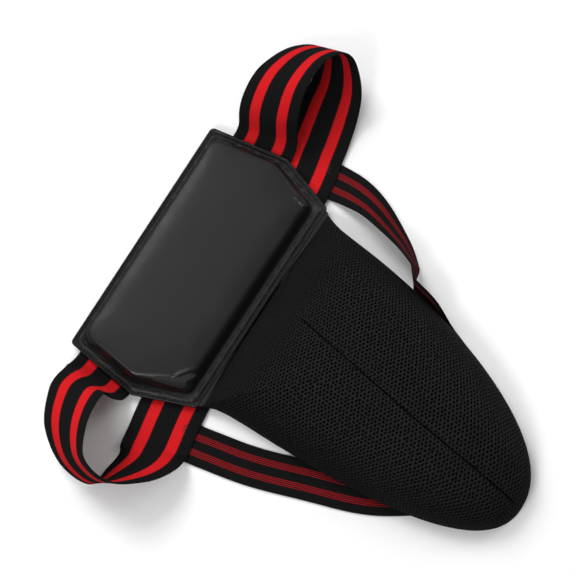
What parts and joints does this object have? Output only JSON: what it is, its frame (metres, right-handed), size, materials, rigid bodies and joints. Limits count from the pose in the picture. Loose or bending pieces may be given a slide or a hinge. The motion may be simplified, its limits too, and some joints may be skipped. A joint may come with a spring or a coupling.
{
  "type": "groin protector",
  "caption": "Padded groin guard for boxing and martial arts: a leather-covered waist pad, a folding mesh pouch with a hard cup inside, an elastic waistband and leg straps.",
  "frame": {"origin": "middle of the footprint, on the surface that the guard lies on", "axes": "+X across the wearer, towards the loop the right of a person who looks at the front sees; +Y from the pouch towards the waist edge; +Z out of the pad's front"},
  "size_m": [0.3868, 0.3536, 0.0573],
  "materials": {
    "leather": "glossy black imitation leather",
    "lining": "matt black woven lining",
    "foam": "closed-cell foam",
    "thread": "black polyester sewing thread",
    "waist_webbing": "ribbed black elastic webbing with two broad red stripes",
    "leg_webbing": "ribbed black elastic webbing with thin red lines",
    "spacer_mesh": "black spacer mesh with round holes",
    "binding": "folded black binding tape",
    "cup_plastic": "moulded polypropylene",
    "cup_rubber": "soft moulded edging"
  },
  "bodies": {
    "pad": {"pad_cover": "leather", "pad_foam_core": "foam", "pad_back_lining": "lining", "pad_edge_stitching": "thread", "pad_closing_stitching": "thread", "pouch_fold_tape": "leather", "waistband_front": "waist_webbing", "waistband_back": "waist_webbing", "leg_strap_end_right": "leg_webbing", "leg_strap_end_left": "leg_webbing", "leg_strap_bartack_right": "thread", "leg_strap_bartack_left": "thread"},
    "pouch": {"pouch_mesh_cover": "spacer_mesh", "pouch_centre_seam": "thread", "pouch_foam_liner": "foam", "pouch_back_lining": "lining", "pouch_edge_binding": "binding", "cup_opening_elastic": "binding"},
    "cup": {"cup_shell": "cup_plastic", "cup_rim_cushion": "cup_rubber"},
    "waist_loop_right": {"waistband_loop_right": "waist_webbing"},
    "waist_loop_left": {"waistband_loop_left": "waist_webbing"},
    "leg_strap_right": {"leg_strap_right": "leg_webbing"},
    "leg_strap_left": {"leg_strap_left": "leg_webbing"}
  },
  "joints": [
    {"name": "pouch_fold", "type": "hinge", "parent": "pad", "child": "pouch", "pos_m": [-0.00808, 0.06625, 0.00857], "axis": [-1, 0, 0], "range_deg": [0, 60]},
    {"name": "cup_shift", "type": "slide", "parent": "pouch", "child": "cup", "axis": [0, 1, 0], "range_m": [0, 0.01]},
    {"name": "leg_strap_right_fold", "type": "hinge", "parent": "pad", "child": "leg_strap_right", "pos_m": [-0.00808, 0.06625, 0.00857], "axis": [-1, 0, 0], "range_deg": [0, 60]},
    {"name": "leg_strap_left_fold", "type": "hinge", "parent": "pad", "child": "leg_strap_left", "pos_m": [-0.00808, 0.06625, 0.00857], "axis": [-1, 0, 0], "range_deg": [0, 60]},
    {"name": "waist_loop_right_swing", "type": "hinge", "parent": "pad", "child": "waist_loop_right", "pos_m": [0.10392, 0.11625, 0.00537], "axis": [0, -1, 0], "range_deg": [0, 30]},
    {"name": "waist_loop_left_swing", "type": "hinge", "parent": "pad", "child": "waist_loop_left", "pos_m": [-0.12008, 0.11625, 0.00537], "axis": [0, 1, 0], "range_deg": [0, 30]}
  ],
  "couplings": [
    {"joint": "leg_strap_right_fold", "follows": "pouch_fold", "ratio": 1},
    {"joint": "leg_strap_left_fold", "follows": "pouch_fold", "ratio": 1}
  ]
}
